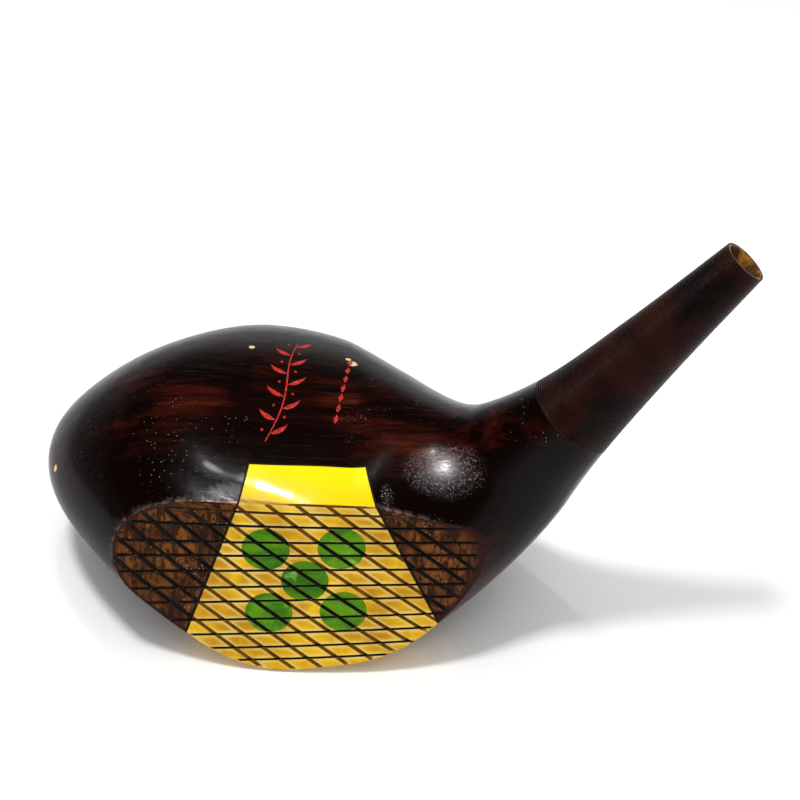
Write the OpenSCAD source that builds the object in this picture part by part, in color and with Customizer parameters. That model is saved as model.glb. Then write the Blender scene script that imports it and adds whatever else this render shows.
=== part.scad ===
// Wooden golf driver head, right-handed, with a keystone face insert,
// five dowel pegs, a whipped neck and a screwed sole plate.
// Origin on the sole's rest plane under the middle of the face.
// X runs from toe to heel, Y from face to back, Z is up.

/* [Head] */
// Distance from the middle of the face to the toe
toe_reach = 60.5; // [58:0.5:63]
// Height of the head's middle line above the ground
middle_z = 23; // [22.5:0.5:24]
// Rise of the crown above the middle line
crown_rise = 23; // [22:0.5:24.5]
// Depth of the sole below the middle line before it is planed flat
sole_drop = 27.5; // [27:0.5:29]
// Fullness of the front before the face is cut
front_reach = 54; // [53:0.5:55]
// Fullness of the back
back_reach = 46; // [44:0.5:48]
// Length over which the toe is rounded off
toe_round = 50; // [48:1:53]

/* [Face] */
// Backward lean of the face
face_loft = 12; // [11:0.5:13]
// Distance of the middle of the face in front of the origin
face_front = 32.5; // [32:0.5:34]
// Height of the middle of the face above the ground
face_z = 23.5; // [23:0.5:24.5]
// Radius of the face's bulge from toe to heel
bulge_r = 280; // [240:10:360]

// Width of the scored lines at the surface
score_w = 0.9; // [0.6:0.1:1.2]
// Depth of the scored lines
score_h = 0.5; // [0.3:0.1:0.8]

/* [Insert] */
// Thickness of the insert behind the face
insert_t = 9; // [7.5:0.5:10]
// Width of the insert at the top of the face
insert_w = 28.8; // [26:0.2:31]
// Sideways run of the toe edge for each millimetre down
toe_slope = 0.32; // [0.25:0.01:0.38]
// Sideways run of the heel edge for each millimetre down
heel_slope = 0.52; // [0.45:0.01:0.56]
// Thickness of the dark bedding around the insert
bedding_t = 0.4; // [0.3:0.1:0.6]
// Diameter of the pegs
peg_d = 10; // [8:0.5:10.5]
// Side of the square on which the four outer pegs stand
peg_square = 16; // [15:0.5:18]
// Turn of the peg pattern in the plane of the face
peg_turn = 4; // [0:1:6]
// Depth of the peg holes
peg_depth = 6; // [4:0.5:6.5]

/* [Neck] */
// Angle of the neck above the ground
lie_angle = 55; // [54:0.5:56]
// Distance from the middle of the face to the start of the bend
bend_start = 7.5; // [7:0.5:9]
// Radius of the bend into the neck
bend_r = 45; // [44:1:48]
// Length of the straight part of the neck
neck_straight = 67; // [64:1:70]
// Diameter over the thread at the open end
tip_d = 9.7; // [9.6:0.1:10.4]
// Diameter of the bore for the shaft
bore_d = 8.13; // [7.94:0.01:8.2]
// Depth of the bore for the shaft
bore_depth = 75; // [60:1:80]
// Length of neck covered with thread
whip_length = 50; // [44:1:56]
// Thickness of the layer of thread
whip_t = 0.3; // [0.2:0.05:0.35]

/* [Sole] */
// Thickness of the sole plate
plate_t = 2.5; // [2:0.25:3]
// Length of the sole plate from front to back
plate_l = 48; // [44:1:50]
// Width of the sole plate at its front
plate_w = 32; // [30:1:33]
// Diameter of the screw heads
screw_head_d = 7; // [6:0.5:8]
// Diameter of the screw shanks
screw_d = 3.5; // [3:0.25:4]
// Length of the screws
screw_l = 15; // [12:1:18]
// Diameter of the lead weight
weight_d = 14; // [10:1:18]
// Thickness of the lead weight
weight_h = 6; // [4:1:10]

/* [Hidden] */

$fn = 64;
far = 200;

wood = "#3a1510";
yellow = "#f2d21c";
green = "#4f9a1e";
black = "#151210";
thread = "#2a0f0c";
brass = "#b08d45";
lead = "#6d7074";

// Lengths along the curved middle line, counted from the toe
bend_l = toe_reach + bend_start;
straight_l = bend_l + bend_r * lie_angle * PI / 180;
neck_end = straight_l + neck_straight;
whip_l = neck_end - whip_length;
tip_r = tip_d / 2;

// Middle line of the neck, front to back
neck_y = -12.5;

// Length along the middle line, reach up, down, forward and backward, middle in Y
stations = [
  [0, 0.86 * crown_rise, 0.3 * sole_drop, 0.64 * front_reach, 0.68 * back_reach, 6.5],
  [22, 1.12 * crown_rise, 0.525 * sole_drop, 0.785 * front_reach, 0.8 * back_reach, 4],
  [47, crown_rise, sole_drop, 0.915 * front_reach, back_reach, 3],
  [67, 0.98 * crown_rise, 0.895 * sole_drop, front_reach, 0.94 * back_reach, 1],
  [87, 0.97 * crown_rise, 0.805 * sole_drop, 0.625 * front_reach, 0.63 * back_reach, -2],
  [107, 15, 17, 17, 15, -8],
  [127, 10, 11, 9.5, 11, neck_y],
  [152, 7, 7.5, 7, 7, neck_y],
  [neck_end, tip_r, tip_r, tip_r, tip_r, neck_y]
];

// Squareness of the sections above and below the middle line
crown_power = 2.15;
sole_power = 2.9;
round_power = 2;
// The sections turn round between these two lengths
round_from = 70;
round_to = 120;
// Power of the curve that closes the toe
toe_power = 0.47;

ring_n = 52;
toe_rings = 15;
ring_step = 3.4;

// Slope at station i of column c
function slope(i, c) =
  let (n = len(stations) - 1, a = max(i - 1, 0), b = min(i + 1, n))
  (stations[b][c] - stations[a][c]) / (stations[b][0] - stations[a][0]);

// Number of the station at or before the length l
function station_at(l, i = 0) =
  i >= len(stations) - 2 || l < stations[i + 1][0] ? i : station_at(l, i + 1);

// Smooth value of column c at the length l
function along(l, c) =
  let (
    i = station_at(l),
    h = stations[i + 1][0] - stations[i][0],
    t = (l - stations[i][0]) / h
  )
  (2 * pow(t, 3) - 3 * pow(t, 2) + 1) * stations[i][c]
  + (pow(t, 3) - 2 * pow(t, 2) + t) * h * slope(i, c)
  + (3 * pow(t, 2) - 2 * pow(t, 3)) * stations[i + 1][c]
  + (pow(t, 3) - pow(t, 2)) * h * slope(i + 1, c);

// Share of full size left by the rounding of the toe
function toe_share(l) =
  l >= toe_round ? 1 : pow(1 - pow(1 - l / toe_round, 2), toe_power);

// Angle by which the section at the length l leans over
function lean(l) =
  min(max((l - bend_l) / bend_r * 180 / PI, 0), lie_angle);

// Point of the middle line at the length l
function spine(l) =
  l <= bend_l ? [l - toe_reach, 0, middle_z]
  : let (a = lean(l), s = max(l - straight_l, 0))
    [
      bend_start + bend_r * sin(a) + s * cos(lie_angle),
      0,
      middle_z + bend_r * (1 - cos(a)) + s * sin(lie_angle)
    ];

// Zero before the sections begin to turn round, one after they have
function roundness(l) =
  let (t = min(max((l - round_from) / (round_to - round_from), 0), 1))
  t * t * (3 - 2 * t);

// Signed power
function spow(v, p) = sign(v) * pow(abs(v), p);

// Ring of points of the section at the length l, smaller by cut all round
function ring(l, cut = 0) =
  let (
    s = toe_share(l),
    w = roundness(l),
    up = along(l, 1) * s - cut,
    down = along(l, 2) * s - cut,
    front = along(l, 3) * s - cut,
    back = along(l, 4) * s - cut,
    mid = along(l, 5),
    low = 2 / (sole_power + (round_power - sole_power) * w),
    high = 2 / (crown_power + (round_power - crown_power) * w),
    o = spine(l),
    a = lean(l)
  )
  [
    for (k = [0 : ring_n - 1])
      let (
        t = 360 * k / ring_n,
        c = abs(cos(t)) < 1e-9 ? 0 : cos(t),
        z = abs(sin(t)) < 1e-9 ? 0 : sin(t),
        p = z < 0 ? low : high,
        y = mid + (c < 0 ? front : back) * spow(c, p),
        q = (z < 0 ? down : up) * spow(z, p)
      )
      [o.x - sin(a) * q, y, o.z + cos(a) * q]
  ];

// Lengths of the rings that close the toe, and of those between two lengths
toe_lengths = [
  for (k = [1 : toe_rings]) toe_round * (1 - cos(90 * k / (toe_rings + 1)))
];
function lengths(from, to) =
  let (n = ceil((to - from) / ring_step))
  [for (k = [0 : n]) from + (to - from) * k / n];

function flat(rings) = [for (r = rings) for (p = r) p];

// Quads between consecutive rings
function skin(n) = [
  for (i = [0 : n - 2]) for (k = [0 : ring_n - 1])
    let (
      a = i * ring_n + k,
      b = i * ring_n + (k + 1) % ring_n
    )
    [a, b, b + ring_n, a + ring_n]
];

// Head and neck as one closed skin, thinner where the thread is wound
module blank(cut = 0) {
  rings = concat(
    [for (l = concat(toe_lengths, lengths(toe_round, whip_l))) ring(l)],
    [for (l = lengths(whip_l, neck_end)) ring(l, cut)]
  );
  n = len(rings);
  toe_point = n * ring_n;
  polyhedron(
    points = concat(flat(rings), [[-toe_reach, along(0, 5), middle_z]]),
    faces = concat(
      skin(n),
      [for (k = [0 : ring_n - 1]) [(k + 1) % ring_n, k, toe_point]],
      [[for (k = [ring_n - 1 : -1 : 0]) (n - 1) * ring_n + k]]
    ),
    convexity = 6
  );
}

// Wound part of the neck, smaller by cut all round and longer by extra at both ends
module neck_part(cut, extra) {
  middle = lengths(whip_l, neck_end);
  shift = [cos(lie_angle), 0, sin(lie_angle)] * extra;
  rings = extra == 0
    ? [for (l = middle) ring(l, cut)]
    : concat(
      [[for (p = ring(whip_l, cut)) p - shift]],
      [for (l = middle) ring(l, cut)],
      [[for (p = ring(neck_end, cut)) p + shift]]
    );
  n = len(rings);
  polyhedron(
    points = flat(rings),
    faces = concat(
      skin(n),
      [[for (k = [0 : ring_n - 1]) k]],
      [[for (k = [ring_n - 1 : -1 : 0]) (n - 1) * ring_n + k]]
    ),
    convexity = 4
  );
}

// Number of sides that keeps the wide bulge true
bulge_fn = 1080;

// Places children with X to the heel, Y up the face and Z out of the face
module on_face() {
  translate([0, -face_front, face_z]) rotate([90 - face_loft, 0, 0]) children();
}

// Everything behind the bulged face
module behind_face() {
  on_face()
    translate([0, 0, -bulge_r])
      rotate([90, 0, 0]) cylinder(r = bulge_r, h = far, center = true, $fn = bulge_fn);
}

// Everything in front of the bulged face, as far as the face reaches
face_heel_end = 44;
face_top = 26;
face_below = 40;
face_deep = 14;
module before_face() {
  difference() {
    on_face()
      translate([-toe_reach - face_deep, -face_below, -face_deep])
        cube([toe_reach + face_deep + face_heel_end, face_below + face_top, 3 * face_deep]);
    behind_face();
  }
}

// Outer form of the head with its face and flat sole
module head_form() {
  difference() {
    blank(whip_t);
    before_face();
    translate([-far / 2, -far / 2, -far]) cube(far);
  }
}

// Scored lines across the face, ruled by hand, heights up the face
score_rows = [19, 17, 14, 10.2, 6.8, 3.2, -0.6, -4.7, -8.9, -12.8, -16.8, -20.6];
score_turn = 13;
module score_lines() {
  over = 1;
  half = score_w / 2 * (score_h + over) / score_h;
  on_face()
    translate([0, 0, -bulge_r])
      rotate([90, 0, 0])
        for (v = score_rows)
          translate([0, 0, -v])
            rotate([0, 0, 90 - score_turn])
              rotate_extrude(angle = 2 * score_turn, $fn = bulge_fn)
                polygon([
                  [bulge_r - score_h, 0], [bulge_r + over, -half], [bulge_r + over, half]
                ]);
}

// Prism of the insert, wider and deeper by margin
insert_top = 18;
prism_top = 32;
prism_low = -32;
module keystone(margin = 0) {
  toe_m = margin * sqrt(1 + toe_slope * toe_slope);
  heel_m = margin * sqrt(1 + heel_slope * heel_slope);
  toe_top = -insert_w / 2 + toe_slope * (prism_top - insert_top) - toe_m;
  toe_low = -insert_w / 2 + toe_slope * (prism_low - insert_top) - toe_m;
  heel_top = insert_w / 2 - heel_slope * (prism_top - insert_top) + heel_m;
  heel_low = insert_w / 2 - heel_slope * (prism_low - insert_top) + heel_m;
  on_face()
    translate([0, 0, -insert_t - margin])
      linear_extrude(insert_t + margin + face_deep)
        polygon([
          [toe_top, prism_top], [toe_low, prism_low],
          [heel_low, prism_low], [heel_top, prism_top]
        ]);
}

// Hole or blank of the peg at [u, v] in the pattern
module peg_blank(at, reach) {
  on_face()
    rotate([0, 0, peg_turn])
      translate([at.x * peg_square / 2, at.y * peg_square / 2, -peg_depth])
        cylinder(d = peg_d, h = peg_depth + reach);
}

module peg(at) {
  color(green)
    difference() {
      intersection() {
        peg_blank(at, 1);
        behind_face();
      }
      score_lines();
    }
}

pegs = [[-1, 1], [1, 1], [0, 0], [-1, -1], [1, -1]];

// Shaft bore from the open end of the neck
module bore() {
  tip = spine(neck_end);
  translate([tip.x, neck_y, tip.z])
    rotate([0, 90 - lie_angle, 0])
      translate([0, 0, -bore_depth])
        cylinder(d = bore_d, h = bore_depth + 5);
}

// Outline of the sole plate: a wedge with a round end towards the back
plate_x = -2;
plate_front = -25;
tail_r = 11;
module plate_outline() {
  translate([plate_x, plate_front]) {
    polygon([
      [-plate_w / 2, 0], [plate_w / 2, 0],
      [tail_r, plate_l - tail_r], [-tail_r, plate_l - tail_r]
    ]);
    translate([0, plate_l - tail_r]) circle(r = tail_r);
  }
}

// Screw places on the sole, measured from the plate's middle line and the origin
screws = [[-11, -19.5], [11, -19.5], [-7, 5], [7, 5], [0, 17.5]];
module screw_at(i) {
  translate([plate_x + screws[i].x, screws[i].y, 0]) children();
}

head_h = (screw_head_d - screw_d) / 2;
module screw_form() {
  cylinder(d1 = screw_head_d, d2 = screw_d, h = head_h);
  cylinder(d = screw_d, h = screw_l);
}

slot_w = 1;
slot_h = 0.9;
module screw(i) {
  color(brass)
    difference() {
      screw_at(i) screw_form();
      screw_at(i)
        rotate([0, 0, 25 + 40 * i])
          translate([-screw_head_d, -slot_w / 2, -slot_h])
            cube([2 * screw_head_d, slot_w, 2 * slot_h]);
    }
}

weight_y = -7;
module sole_weight() {
  color(lead)
    translate([plate_x, weight_y, plate_t]) cylinder(d = weight_d, h = weight_h);
}

module head_body() {
  color(wood)
    difference() {
      head_form();
      keystone(bedding_t);
      bore();
      linear_extrude(plate_t) plate_outline();
      sole_weight();
      for (i = [0 : len(screws) - 1]) screw_at(i) screw_form();
      score_lines();
    }
}

module face_insert() {
  color(yellow)
    difference() {
      intersection() {
        head_form();
        keystone();
      }
      for (p = pegs) peg_blank(p, 5);
      score_lines();
    }
}

module insert_bedding() {
  color(black)
    difference() {
      intersection() {
        head_form();
        keystone(bedding_t);
      }
      keystone();
      score_lines();
    }
}

module neck_whipping() {
  color(thread)
    difference() {
      neck_part(0, 0);
      neck_part(whip_t, 1);
    }
}

module sole_plate() {
  color(brass)
    difference() {
      intersection() {
        linear_extrude(plate_t) plate_outline();
        head_form();
      }
      for (i = [0 : len(screws) - 1]) screw_at(i) screw_form();
    }
}

head_body();
face_insert();
insert_bedding();
peg(pegs[0]);  // peg_upper_toe
peg(pegs[1]);  // peg_upper_heel
peg(pegs[2]);  // peg_middle
peg(pegs[3]);  // peg_lower_toe
peg(pegs[4]);  // peg_lower_heel
neck_whipping();
sole_plate();
sole_weight();
screw(0);  // screw_front_toe
screw(1);  // screw_front_heel
screw(2);  // screw_back_toe
screw(3);  // screw_back_heel
screw(4);  // screw_tail
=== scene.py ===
import math

import bmesh
import bpy
import numpy as np
from bpy.props import (FloatProperty, FloatVectorProperty, IntProperty, PointerProperty)
from bpy.types import Operator, Panel, PropertyGroup
from mathutils import Matrix, Vector


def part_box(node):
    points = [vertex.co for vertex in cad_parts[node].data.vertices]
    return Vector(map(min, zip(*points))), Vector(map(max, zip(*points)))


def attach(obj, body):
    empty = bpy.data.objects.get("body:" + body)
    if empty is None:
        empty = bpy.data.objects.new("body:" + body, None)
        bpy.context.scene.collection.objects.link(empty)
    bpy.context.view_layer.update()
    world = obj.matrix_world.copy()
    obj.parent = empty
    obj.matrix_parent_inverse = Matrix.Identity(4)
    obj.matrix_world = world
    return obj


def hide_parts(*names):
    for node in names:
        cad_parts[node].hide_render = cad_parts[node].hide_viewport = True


bl_info = {
    "name": "Wooden golf driver head",
    "version": (1, 0, 0),
    "blender": (4, 5, 0),
    "location": "View3D > Sidebar > Driver head",
    "description": "Builds the looks of a wooden golf driver head around its frame",
    "category": "Object",
}

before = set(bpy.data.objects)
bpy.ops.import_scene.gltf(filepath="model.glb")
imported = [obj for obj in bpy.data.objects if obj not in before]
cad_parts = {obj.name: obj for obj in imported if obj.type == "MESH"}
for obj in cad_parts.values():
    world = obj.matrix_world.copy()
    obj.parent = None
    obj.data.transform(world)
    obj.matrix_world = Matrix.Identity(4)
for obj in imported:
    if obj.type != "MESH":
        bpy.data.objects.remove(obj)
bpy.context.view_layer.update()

MM = 0.001
BODY = "root"

# ----
# The form of the head, in millimetres, as the frame's solids have it

TOE_REACH = 60.5
MIDDLE_Z = 23.0
BEND_START = 7.5
BEND_R = 45.0
LIE = math.radians(55.0)
NECK_STRAIGHT = 67.0
TOE_ROUND = 50.0
TOE_POWER = 0.47
BEND_L = TOE_REACH + BEND_START
STRAIGHT_L = BEND_L + BEND_R * LIE
NECK_END = STRAIGHT_L + NECK_STRAIGHT
WHIP_LENGTH = 50.0
WHIP_L = NECK_END - WHIP_LENGTH
WHIP_T = 0.3
TIP_R = 4.85
NECK_Y = -12.5
BORE_R = 4.065
BORE_DEPTH = 75.0
SOLE_POWER, CROWN_POWER, ROUND_POWER = 2.9, 2.15, 2.0
ROUND_FROM, ROUND_TO = 70.0, 120.0

FACE_FRONT = 32.5
FACE_Z = 23.5
LOFT = math.radians(12.0)
BULGE_R = 280.0
# Limits of the ruling: toward the toe and the heel, down and up the face
FACE_TOE, FACE_HEEL, FACE_FOOT, FACE_TOP = -64.0, 44.0, -38.0, 26.0
TOP_ROW_REACH = 15.5
# Distance between slanted lines along a row, and roughly that square across them
SLANT_STEP, SLANT_GAP = 6.0, 4.2

INSERT_T = 9.0
INSERT_W = 28.8
INSERT_TOP = 18.0
TOE_SLOPE, HEEL_SLOPE = 0.32, 0.52
BEDDING_T = 0.4
# How far the insert's blank reaches up and down the face before it is trimmed
KEY_REACH = 32.0

PLATE_T = 2.5
PLATE_TAIL_R = 11.0
# The skin lies this little inside the frame's solids
SKIN = 0.03
# Size of the soft edge where the form meets the flat of the sole
FOOT_SOFTNESS = 0.12

# Length from the toe, reach up, down, forward, backward, middle in Y
STATIONS = np.array([
    [0, 19.78, 8.25, 34.56, 31.28, 6.5],
    [22, 25.76, 14.4375, 42.39, 36.8, 4],
    [47, 23, 27.5, 49.41, 46, 3],
    [67, 22.54, 24.6125, 54, 43.24, 1],
    [87, 22.31, 22.1375, 33.75, 28.98, -2],
    [107, 15, 17, 17, 15, -8],
    [127, 10, 11, 9.5, 11, NECK_Y],
    [152, 7, 7.5, 7, 7, NECK_Y],
    [NECK_END, TIP_R, TIP_R, TIP_R, TIP_R, NECK_Y],
])

# Scored lines ruled across the face: height up the face at its middle
SCORE_ROWS = [18.8, 16.6, 13.4, 9.6, 6.4, 2.8, -1.2, -4.8, -9.4, -13.2, -16.8, -20.1]
# Slanted lines: place along the face 10 mm above its middle and 10 mm below it
SLANTS = [
    (-56.5, -34.0), (-50.7, -28.3), (-45.0, -22.4), (-39.4, -16.4), (-33.8, -10.5),
    (-27.8, -4.3), (-22.0, 2.0), (-16.6, 8.4), (-11.0, 14.5), (-4.6, 21.4),
    (2.2, 27.2), (8.2, 32.7), (14.8, 39.5), (21.0, 45.5), (27.0, 51.5),
]


def columns_of(*values):
    """Arrays of values side by side as the last axis."""
    return np.stack(values, axis=-1)


def along(length, column):
    """Smooth value of a station column at each length: cubic Hermite with chord slopes."""
    x, y = STATIONS[:, 0], STATIONS[:, column]
    slope = np.empty_like(y)
    slope[1:-1] = (y[2:] - y[:-2]) / (x[2:] - x[:-2])
    slope[0] = (y[1] - y[0]) / (x[1] - x[0])
    slope[-1] = (y[-1] - y[-2]) / (x[-1] - x[-2])
    i = np.clip(np.searchsorted(x, length, side="right") - 1, 0, len(x) - 2)
    h = x[i + 1] - x[i]
    t = (length - x[i]) / h
    return (
        (2 * t**3 - 3 * t**2 + 1) * y[i]
        + (t**3 - 2 * t**2 + t) * h * slope[i]
        + (3 * t**2 - 2 * t**3) * y[i + 1]
        + (t**3 - t**2) * h * slope[i + 1]
    )


def toe_share(length):
    """Share of full size left by the rounding of the toe."""
    short = np.clip(1 - (1 - length / TOE_ROUND) ** 2, 0, 1) ** TOE_POWER
    return np.where(length < TOE_ROUND, short, 1.0)


def reach_of(length, negative, below, above):
    """Reach of the section: one station column where negative is true, another elsewhere."""
    return np.where(negative, along(length, below), along(length, above)) * toe_share(length)


def section_powers(length):
    """Powers of the section below and above its middle, both two on the neck."""
    turn = np.clip((length - ROUND_FROM) / (ROUND_TO - ROUND_FROM), 0, 1)
    turn = turn * turn * (3 - 2 * turn)
    low = SOLE_POWER + (ROUND_POWER - SOLE_POWER) * turn
    high = CROWN_POWER + (ROUND_POWER - CROWN_POWER) * turn
    return low, high


def blank_point(length, angle, cut=0.0):
    """Point of the head's skin: a section across the bent middle line, a superellipse
    with its own reach up, down, forward and backward, smaller by cut all round."""
    length, angle, cut = np.broadcast_arrays(
        np.asarray(length, float), np.asarray(angle, float), np.asarray(cut, float)
    )
    lean = np.clip((length - BEND_L) / BEND_R, 0, LIE)
    past = np.clip(length - STRAIGHT_L, 0, None)
    on_straight = length < BEND_L
    x0 = np.where(
        on_straight,
        length - TOE_REACH,
        BEND_START + BEND_R * np.sin(lean) + past * math.cos(LIE),
    )
    z0 = MIDDLE_Z + BEND_R * (1 - np.cos(lean)) + past * math.sin(LIE)
    c, s = np.cos(angle), np.sin(angle)
    low, high = section_powers(length)
    power = 2 / np.where(s < 0, low, high)
    c = np.sign(c) * np.abs(c) ** power
    s = np.sign(s) * np.abs(s) ** power
    reach_y = reach_of(length, c < 0, 3, 4) - cut
    q = (reach_of(length, s < 0, 2, 1) - cut) * s
    y = along(length, 5) + reach_y * c
    return columns_of(x0 - np.sin(lean) * q, y, z0 + np.cos(lean) * q)


def skin_depth(points):
    """Roughly how far points lie under the skin, in millimetres: one less the root of the
    section's superellipse value at the point, times the section's reach in Y."""
    x, y, z = points[..., 0], points[..., 1], points[..., 2]
    centre_z = MIDDLE_Z + BEND_R
    lean = np.clip(np.arctan2(x - BEND_START, centre_z - z), 0, LIE)
    lean = np.where(x < BEND_START, 0, lean)
    from_x, from_z = x - BEND_START, z - centre_z
    past = from_x * math.cos(LIE) + from_z * math.sin(LIE)
    on_neck = lean >= LIE
    q = np.where(
        x < BEND_START,
        z - MIDDLE_Z,
        np.where(
            on_neck,
            BEND_R - (from_x * math.sin(LIE) - from_z * math.cos(LIE)),
            BEND_R - np.hypot(from_x, from_z),
        ),
    )
    length = np.where(
        x < BEND_START,
        x + TOE_REACH,
        BEND_L + BEND_R * lean + np.where(on_neck, np.clip(past, 0, None), 0),
    )
    length = np.clip(length, 0.01, NECK_END)
    low, high = section_powers(length)
    power = np.where(q < 0, low, high)
    off = y - along(length, 5)
    reach_y = reach_of(length, off < 0, 3, 4)
    reach_q = reach_of(length, q < 0, 2, 1)
    value = np.abs(off / reach_y) ** power + np.abs(q / reach_q) ** power
    return (1 - value ** (1 / power)) * reach_y


def planed(points):
    """Points kept above the ground: the foot of the form rounds off softly into the flat."""
    out = points.copy()
    z = points[..., 2]
    out[..., 2] = (z + np.sqrt(z * z + FOOT_SOFTNESS * FOOT_SOFTNESS)) / 2
    return out


def face_to_head(u, v, w):
    """Face place (toward the heel, up the face, out of the face) as head X, Y, Z."""
    u, v, w = np.broadcast_arrays(*(np.asarray(a, float) for a in (u, v, w)))
    return columns_of(
        u,
        -FACE_FRONT + v * math.sin(LOFT) - w * math.cos(LOFT),
        FACE_Z + v * math.cos(LOFT) + w * math.sin(LOFT),
    )


def head_to_face(points):
    """Head X, Y, Z as face place (u, v, w)."""
    y = points[..., 1] + FACE_FRONT
    z = points[..., 2] - FACE_Z
    return (
        points[..., 0],
        y * math.sin(LOFT) + z * math.cos(LOFT),
        -y * math.cos(LOFT) + z * math.sin(LOFT),
    )


def bulge(u):
    """How far the bulged face lies from its middle plane, negative behind it."""
    return np.sqrt(BULGE_R**2 - np.clip(u, -200, 200) ** 2) - BULGE_R


def keystone_sides(v, margin=0.0):
    """Toe and heel limits of the insert at the height v up the face."""
    toe = -INSERT_W / 2 + TOE_SLOPE * (v - INSERT_TOP) - margin * math.hypot(1, TOE_SLOPE)
    heel = INSERT_W / 2 - HEEL_SLOPE * (v - INSERT_TOP) + margin * math.hypot(1, HEEL_SLOPE)
    return toe, heel


def lattice(ix, iy, seed):
    """Repeatable value from 0 to 1 for each pair of whole numbers."""
    n = np.sin(ix * 127.1 + iy * 311.7 + seed * 74.7) * 43758.5453
    return n - np.floor(n)


def value_noise(x, y, seed=0):
    """Smooth noise from 0 to 1: lattice values blended with a cubic step."""
    fx, fy = np.floor(x), np.floor(y)
    tx, ty = x - fx, y - fy
    tx, ty = tx * tx * (3 - 2 * tx), ty * ty * (3 - 2 * ty)
    a = lattice(fx, fy, seed) * (1 - tx) + lattice(fx + 1, fy, seed) * tx
    b = lattice(fx, fy + 1, seed) * (1 - tx) + lattice(fx + 1, fy + 1, seed) * tx
    return a * (1 - ty) + b * ty


# ----
# Meshes


def mesh_piece(name, points, faces, closed=True):
    """Object at the origin whose mesh has these points, in millimetres, and faces, which
    are turned outwards on a closed piece."""
    mesh = bpy.data.meshes.new(name)
    mesh.from_pydata((np.asarray(points).reshape(-1, 3) * MM).tolist(), [], faces)
    if closed:
        bm = bmesh.new()
        bm.from_mesh(mesh)
        bmesh.ops.recalc_face_normals(bm, faces=bm.faces)
        bm.to_mesh(mesh)
        bm.free()
    mesh.update()
    piece = bpy.data.objects.new(name, mesh)
    bpy.context.scene.collection.objects.link(piece)
    return piece


def grid_quads(rows, columns, wrap=False):
    """Quads of a grid of points numbered row by row; wrap joins the last column to the first."""
    i = np.arange(rows - 1)[:, None]
    j = np.arange(columns if wrap else columns - 1)[None, :]
    a, b = i * columns + j, i * columns + (j + 1) % columns
    return columns_of(a, b, b + columns, a + columns).reshape(-1, 4)


def combined(piece, operation, *tools):
    """Cuts the tools off the piece, or keeps what it has in common with them; the tools are
    left as they were."""
    for tool in tools:
        modifier = piece.modifiers.new(operation, "BOOLEAN")
        modifier.operation = operation
        modifier.solver = "MANIFOLD"
        modifier.object = tool
        graph = bpy.context.evaluated_depsgraph_get()
        mesh = bpy.data.meshes.new_from_object(piece.evaluated_get(graph))
        if not mesh.polygons:
            raise RuntimeError(f"{operation} with {tool.name} left nothing of {piece.name}")
        piece.modifiers.clear()
        old = piece.data
        piece.data = mesh
        bpy.data.meshes.remove(old)


def discard(*pieces):
    """Removes helper objects."""
    for piece in pieces:
        mesh = piece.data
        bpy.data.objects.remove(piece)
        bpy.data.meshes.remove(mesh)


def polygon_places(mesh):
    """Middles of the mesh's polygons, in millimetres, and how far each faces forward: one
    if it lies square to the face's middle, zero or less if it is turned away."""
    centres = np.empty(len(mesh.polygons) * 3)
    mesh.polygons.foreach_get("center", centres)
    normals = np.empty(len(centres))
    mesh.polygons.foreach_get("normal", normals)
    forward = np.array([0, -math.cos(LOFT), math.sin(LOFT)])
    return centres.reshape(-1, 3) / MM, normals.reshape(-1, 3) @ forward


def point_places(mesh):
    """Points of the mesh in millimetres."""
    co = np.empty(len(mesh.vertices) * 3)
    mesh.vertices.foreach_get("co", co)
    return co.reshape(-1, 3) / MM


def finish_piece(piece, materials, index=None, crease=35.0, nodes=()):
    """Gives the piece its materials, smooth shading with creases, and its place in the frame."""
    mesh = piece.data
    mesh.materials.clear()
    for material in materials:
        mesh.materials.append(material)
    if index is not None:
        mesh.polygons.foreach_set("material_index", np.asarray(index, np.int32))
    mesh.polygons.foreach_set("use_smooth", np.ones(len(mesh.polygons), bool))
    mesh.set_sharp_from_angle(angle=math.radians(crease))
    mesh.update()
    mesh.name = piece.name
    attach(piece, BODY)
    if nodes:
        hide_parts(*nodes)


def blank_solid(name, around=240):
    """Closed skin of the head and neck: rings of the form from toe to neck end,
    thinner by the layer of thread where that is wound."""
    toe = TOE_ROUND * (1 - np.cos(np.linspace(0, math.pi / 2, 60)[1:-1]))
    body = np.linspace(TOE_ROUND, WHIP_L, 90)
    neck = np.linspace(WHIP_L, NECK_END, 50)
    neck[0] += 0.04
    lengths = np.concatenate([toe, body, neck])
    cuts = np.concatenate([np.zeros(len(toe) + len(body)), np.full(len(neck), WHIP_T)])
    angles = np.linspace(0, 2 * math.pi, around, endpoint=False)
    rings = planed(blank_point(lengths[:, None], angles[None, :], cuts[:, None] + SKIN))
    rows = len(lengths)
    points = np.concatenate([rings.reshape(-1, 3), [[SKIN - TOE_REACH, along(0.0, 5), MIDDLE_Z]]])
    pole = rows * around
    faces = grid_quads(rows, around, wrap=True).tolist()
    k = np.arange(around)
    faces += columns_of((k + 1) % around, k, np.full(around, pole)).tolist()
    faces.append((pole - 1 - k).tolist())
    return mesh_piece(name, points, faces)


def spread(marks, half, step, low, high):
    """Grid values from low to high: each mark with a value half a width to either side,
    and even steps between them. Returns the values and which of them are marks."""
    values, is_mark = [low], [False]
    for mark in marks:
        start = mark - half
        n = max(int(round((start - values[-1]) / step)), 1)
        for i in range(1, n):
            values.append(values[-1] + (start - values[-1]) / (n - i + 1))
            is_mark.append(False)
        values += [start, mark, mark + half]
        is_mark += [False, True, False]
    n = max(int(round((high - values[-1]) / step)), 1)
    values += list(np.linspace(values[-1], high, n + 1)[1:])
    is_mark += [False] * n
    return np.array(values), np.array(is_mark)


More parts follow.
